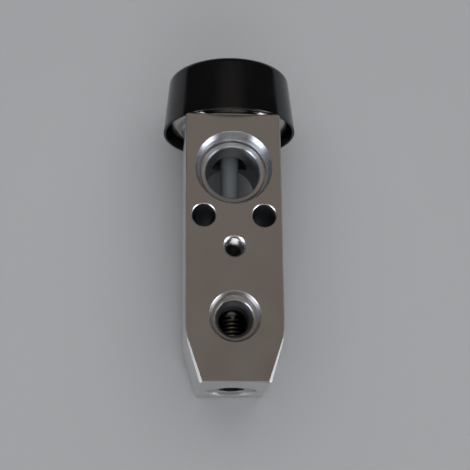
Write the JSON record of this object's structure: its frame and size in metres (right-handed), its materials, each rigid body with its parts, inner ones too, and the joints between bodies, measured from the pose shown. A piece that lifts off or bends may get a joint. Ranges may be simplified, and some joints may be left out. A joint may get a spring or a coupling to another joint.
{
  "type": "thermostatic expansion valve",
  "caption": "Aluminium block expansion valve with suction and liquid ports, a power head under an insulating cap, and an adjusting screw that sets the spring behind the valve ball.",
  "frame": {"origin": "on the block's back face, midway between the two bolt holes", "axes": "+Z out of the face with the ports, along the bolt holes; +Y along the valve axis towards the power head; +X across the block"},
  "size_m": [0.0394, 0.0947, 0.0394],
  "materials": {
    "machined_aluminium": "satin, machined",
    "black_plastic": "gloss",
    "stainless_steel": "satin, turned and pressed",
    "turned_aluminium": "satin, turned",
    "seal_rubber": "matt",
    "grey_resin": "matt",
    "spring_steel": "bright, drawn",
    "polished_steel": "polished"
  },
  "bodies": {
    "body": {"valve_block": "machined_aluminium", "insulating_cap": "black_plastic", "head_lower_cover": "stainless_steel", "head_upper_cover": "stainless_steel", "diaphragm": "stainless_steel", "fill_plug": "stainless_steel", "head_o_ring": "seal_rubber", "shaft_o_ring": "seal_rubber", "shaft_push_nut": "spring_steel", "seat_ring": "stainless_steel", "valve_spring": "spring_steel"},
    "stem": {"diaphragm_stopper": "turned_aluminium", "sensing_shaft": "turned_aluminium", "shaft_sleeve": "grey_resin", "actuating_rod": "stainless_steel", "valve_ball": "polished_steel", "ball_carrier": "stainless_steel", "damper_ring": "spring_steel"},
    "screw_seal": {"screw_o_ring": "seal_rubber"},
    "screw": {"adjusting_screw": "turned_aluminium"}
  },
  "joints": [
    {"name": "valve_lift", "type": "slide", "parent": "body", "child": "stem", "axis": [0, -1, 0], "range_m": [0, 0.0008], "stiffness_N_per_m": 6000, "deforming": ["valve_spring", "diaphragm"]},
    {"name": "screw_feed", "type": "slide", "parent": "body", "child": "screw_seal", "axis": [0, 1, 0], "range_m": [-0.0005, 0.001], "deforming": ["valve_spring"]},
    {"name": "screw_turn", "type": "hinge", "parent": "screw_seal", "child": "screw", "pos_m": [0, -0.0463, 0.0104], "axis": [0, 1, 0], "range_deg": [-180, 360]}
  ],
  "couplings": [
    {"joint": "screw_turn", "follows": "screw_feed", "rad_per_m": 6283.2}
  ]
}
